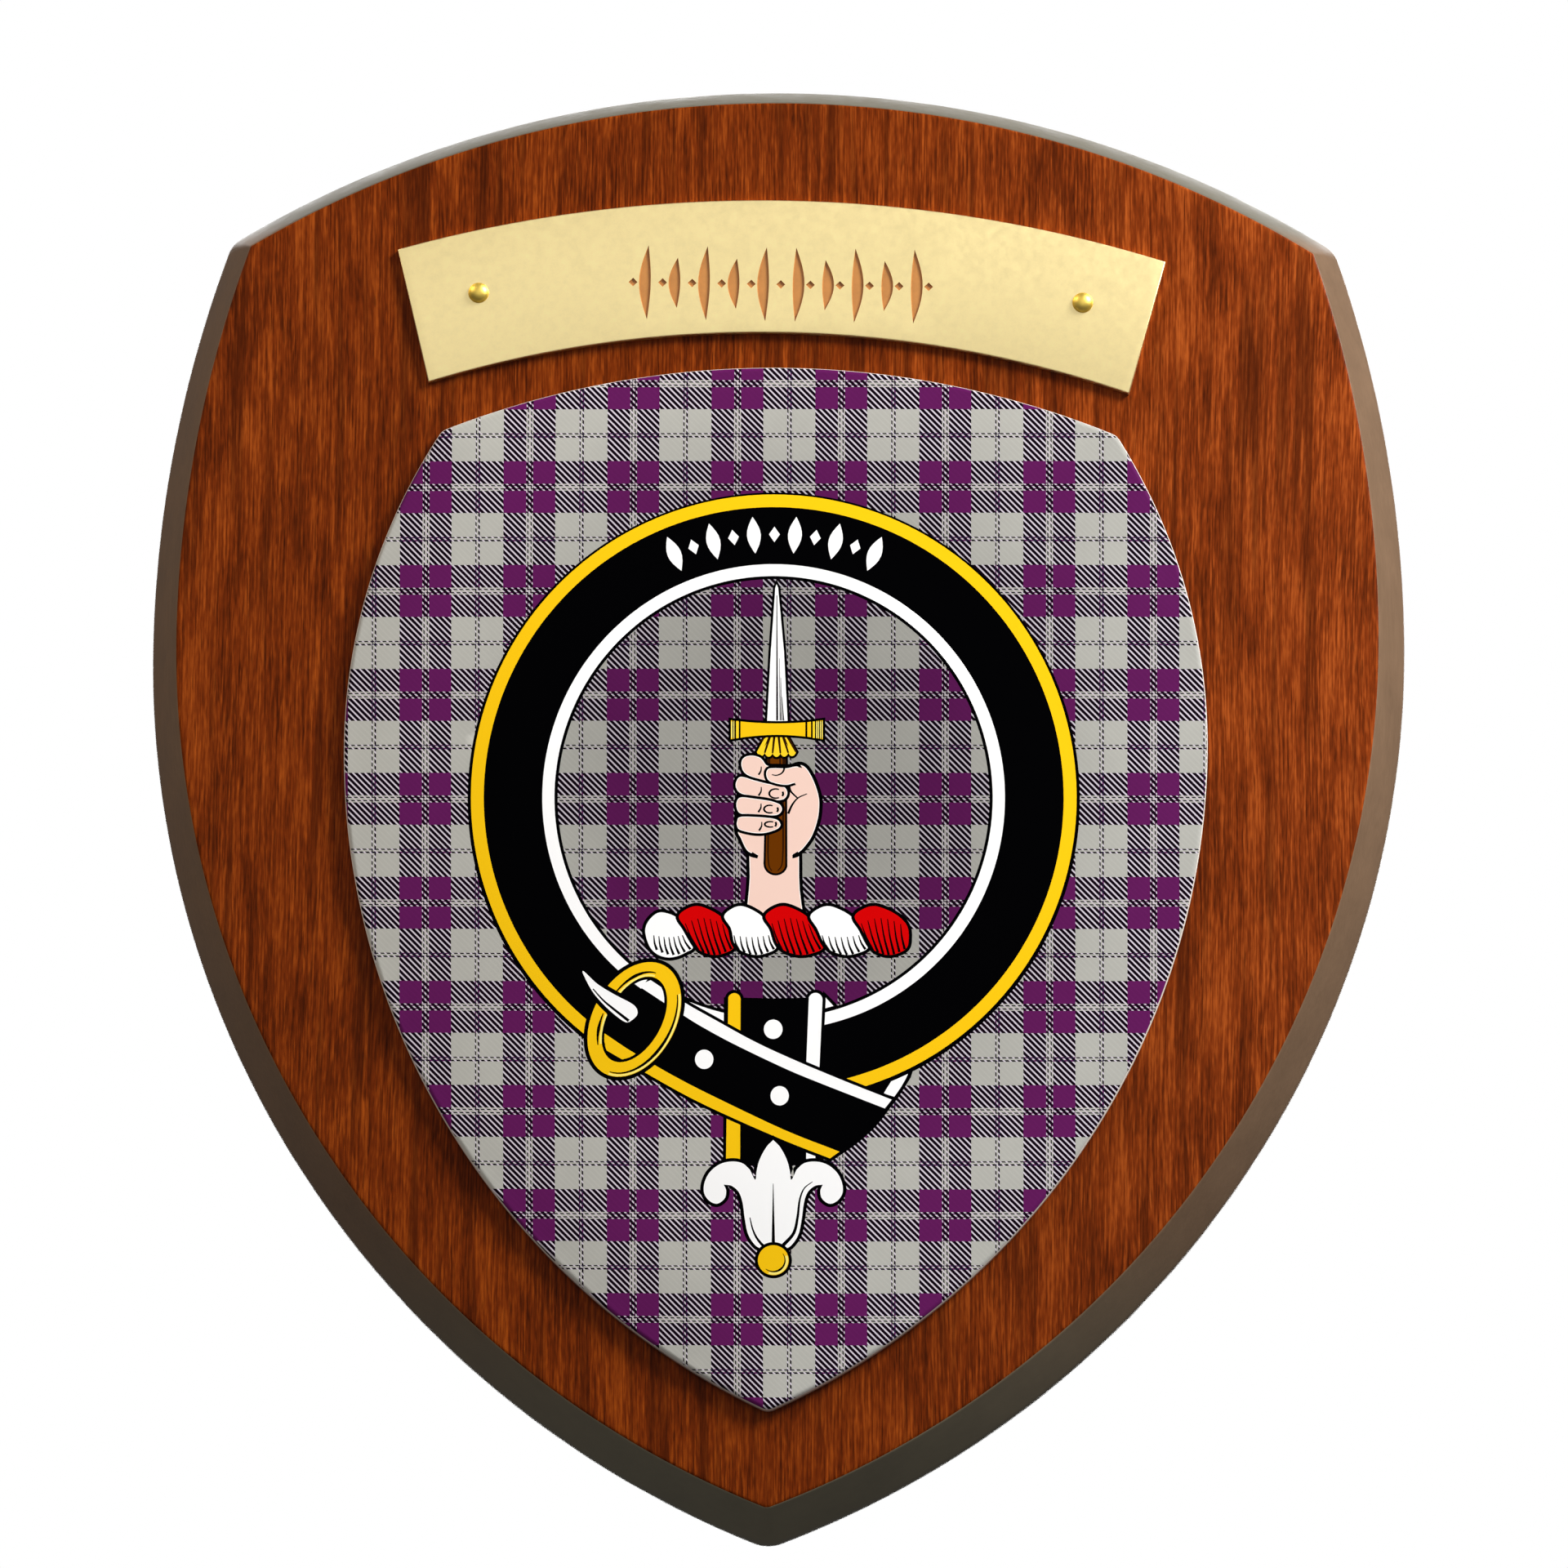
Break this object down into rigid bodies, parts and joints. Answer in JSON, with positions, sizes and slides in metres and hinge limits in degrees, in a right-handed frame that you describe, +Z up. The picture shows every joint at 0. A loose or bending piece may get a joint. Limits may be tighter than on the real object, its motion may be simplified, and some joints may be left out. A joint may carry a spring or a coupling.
{
  "type": "heraldic shield wall plaque",
  "caption": "Bevelled wooden wall plaque in the form of a heraldic shield, with a domed tartan inner shield and a curved brass nameplate pinned above it.",
  "frame": {"origin": "centre of the flat back of the board", "axes": "+Z up the plaque, +X to the right as seen from the front, and the front faces -Y"},
  "size_m": [0.254, 0.0236, 0.3],
  "materials": {
    "stained_wood": "reddish mahogany stain under satin varnish, plain brown edge",
    "printed_shield": "satin printed tartan in purple and light grey",
    "brass_plate": "pale satin brass",
    "polished_brass": "polished"
  },
  "bodies": {
    "root": {"board": "stained_wood", "inner_shield": "printed_shield", "nameplate": "brass_plate", "pin_left": "polished_brass", "pin_right": "polished_brass"}
  },
  "joints": []
}
